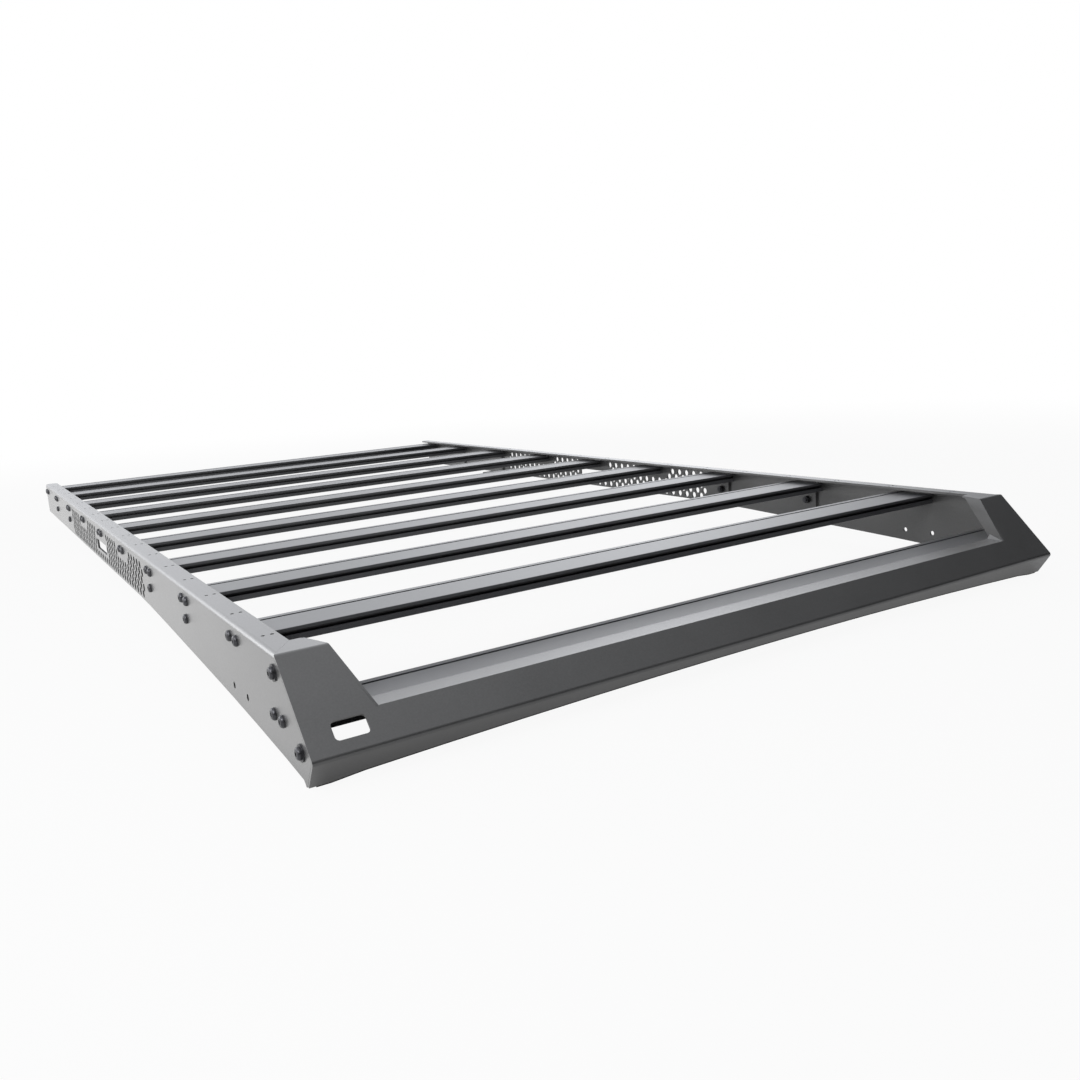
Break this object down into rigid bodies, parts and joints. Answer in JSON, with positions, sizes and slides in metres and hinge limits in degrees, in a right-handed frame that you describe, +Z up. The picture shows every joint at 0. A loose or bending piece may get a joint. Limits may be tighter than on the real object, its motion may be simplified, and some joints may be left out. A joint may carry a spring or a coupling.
{
  "type": "roof rack",
  "caption": "Flat vehicle roof rack: bent sheet side rails with a perforated panel, slotted crossbars, folded front fairing and slotted feet.",
  "frame": {"origin": "middle of the rack in plan, at the lowest point of the side rails", "axes": "+X towards the vehicle's left side, -Y towards its front, +Z up"},
  "size_m": [1.262, 2.2536, 0.1235],
  "materials": {
    "black_metal": "fine-textured satin black powder coat",
    "black_rubber": "matt",
    "bolt_steel": "black oxide"
  },
  "bodies": {
    "root": {"side_rail_left": "black_metal", "side_rail_right": "black_metal", "front_fairing": "black_metal", "front_low_crossbar": "black_metal", "crossbar_1": "black_metal", "crossbar_2": "black_metal", "crossbar_3": "black_metal", "crossbar_4": "black_metal", "crossbar_5": "black_metal", "crossbar_6": "black_metal", "crossbar_7": "black_metal", "crossbar_8": "black_metal", "rear_crossbar": "black_metal", "foot_left_2": "black_metal", "foot_left_3": "black_metal", "foot_left_7": "black_metal", "foot_left_8": "black_metal", "foot_right_2": "black_metal", "foot_right_3": "black_metal", "foot_right_7": "black_metal", "foot_right_8": "black_metal", "fairing_edge_trim": "black_rubber", "foot_bolts_left": "bolt_steel", "foot_bolts_right": "bolt_steel", "fairing_bolts_left": "bolt_steel", "fairing_bolts_right": "bolt_steel"}
  },
  "joints": []
}
